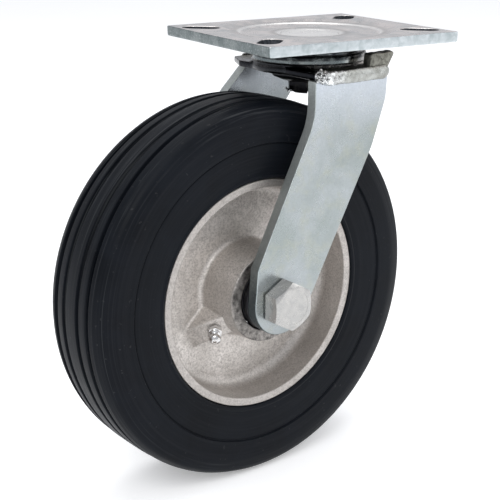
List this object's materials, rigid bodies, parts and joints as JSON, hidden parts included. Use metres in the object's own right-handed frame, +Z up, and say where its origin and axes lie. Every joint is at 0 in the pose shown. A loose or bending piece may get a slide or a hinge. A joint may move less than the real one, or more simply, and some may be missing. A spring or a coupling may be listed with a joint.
{
  "type": "swivel caster",
  "caption": "Heavy swivel caster for a gate: bolt-on plate, ball-bearing swivel, raked welded fork and a ribbed rubber tyre on a cast hub.",
  "frame": {"origin": "where the swivel axis meets the plate's top face", "axes": "+Z up along the swivel axis, +X along the plate's long side, away from the side that the wheel trails to, +Y to the side of the axle nut"},
  "size_m": [0.2062, 0.1064, 0.2297],
  "materials": {
    "plate_zinc": "bright zinc plate, lightly clouded",
    "fork_zinc": "bright zinc plate, glossy and clouded",
    "weld_zinc": "rippled weld bead under zinc plate",
    "bolt_zinc": "bright zinc-plated fastener",
    "dark_steel": "oiled dark steel",
    "bright_steel": "polished steel",
    "cast_aluminium": "sand-cast, grainy and warm grey",
    "black_rubber": "moulded black rubber, satin"
  },
  "bodies": {
    "plate": {"top_plate": "plate_zinc", "kingpin": "plate_zinc", "lower_race_cup": "dark_steel", "kingpin_nut": "dark_steel", "cotter_pin": "bright_steel"},
    "upper_balls": {"upper_ball_01": "bright_steel", "upper_ball_02": "bright_steel", "upper_ball_03": "bright_steel", "upper_ball_04": "bright_steel", "upper_ball_05": "bright_steel", "upper_ball_06": "bright_steel", "upper_ball_07": "bright_steel", "upper_ball_08": "bright_steel", "upper_ball_09": "bright_steel", "upper_ball_10": "bright_steel", "upper_ball_11": "bright_steel", "upper_ball_12": "bright_steel", "upper_ball_13": "bright_steel", "upper_ball_14": "bright_steel", "upper_ball_15": "bright_steel", "upper_ball_16": "bright_steel", "upper_ball_17": "bright_steel", "upper_ball_18": "bright_steel"},
    "lower_balls": {"lower_ball_01": "bright_steel", "lower_ball_02": "bright_steel", "lower_ball_03": "bright_steel", "lower_ball_04": "bright_steel", "lower_ball_05": "bright_steel", "lower_ball_06": "bright_steel", "lower_ball_07": "bright_steel", "lower_ball_08": "bright_steel", "lower_ball_09": "bright_steel", "lower_ball_10": "bright_steel", "lower_ball_11": "bright_steel", "lower_ball_12": "bright_steel"},
    "fork": {"yoke_base": "fork_zinc", "fork_leg_near": "fork_zinc", "fork_leg_far": "fork_zinc", "weld_near": "weld_zinc", "weld_far": "weld_zinc", "axle_bolt": "bolt_zinc", "axle_nut": "bolt_zinc", "axle_washer": "bolt_zinc", "axle_bushing": "bright_steel", "thrust_washer_near": "dark_steel", "thrust_washer_far": "dark_steel"},
    "wheel": {"wheel_hub": "cast_aluminium", "tyre": "black_rubber", "grease_fitting": "bright_steel"},
    "roller_set": {"roller_cage": "dark_steel", "bearing_roller_1": "bright_steel", "bearing_roller_2": "bright_steel", "bearing_roller_3": "bright_steel", "bearing_roller_4": "bright_steel", "bearing_roller_5": "bright_steel", "bearing_roller_6": "bright_steel", "bearing_roller_7": "bright_steel", "bearing_roller_8": "bright_steel"}
  },
  "joints": [
    {"name": "swivel", "type": "hinge", "parent": "plate", "child": "fork", "pos_m": [0, 0, 0], "axis": [0, 0, 1], "continuous": true},
    {"name": "upper_ball_orbit", "type": "hinge", "parent": "plate", "child": "upper_balls", "pos_m": [0, 0, 0], "axis": [0, 0, 1], "continuous": true},
    {"name": "lower_ball_orbit", "type": "hinge", "parent": "plate", "child": "lower_balls", "pos_m": [0, 0, 0], "axis": [0, 0, 1], "continuous": true},
    {"name": "wheel_spin", "type": "hinge", "parent": "fork", "child": "wheel", "pos_m": [-0.04843, -0.00509, -0.1298], "axis": [-0.1045, 0.9945, 0], "continuous": true},
    {"name": "roller_orbit", "type": "hinge", "parent": "fork", "child": "roller_set", "pos_m": [-0.04843, -0.00509, -0.1298], "axis": [-0.1045, 0.9945, 0], "continuous": true}
  ],
  "couplings": [
    {"joint": "upper_ball_orbit", "follows": "swivel", "ratio": 0.5},
    {"joint": "lower_ball_orbit", "follows": "swivel", "ratio": 0.5},
    {"joint": "roller_orbit", "follows": "wheel_spin", "ratio": 0.6}
  ]
}
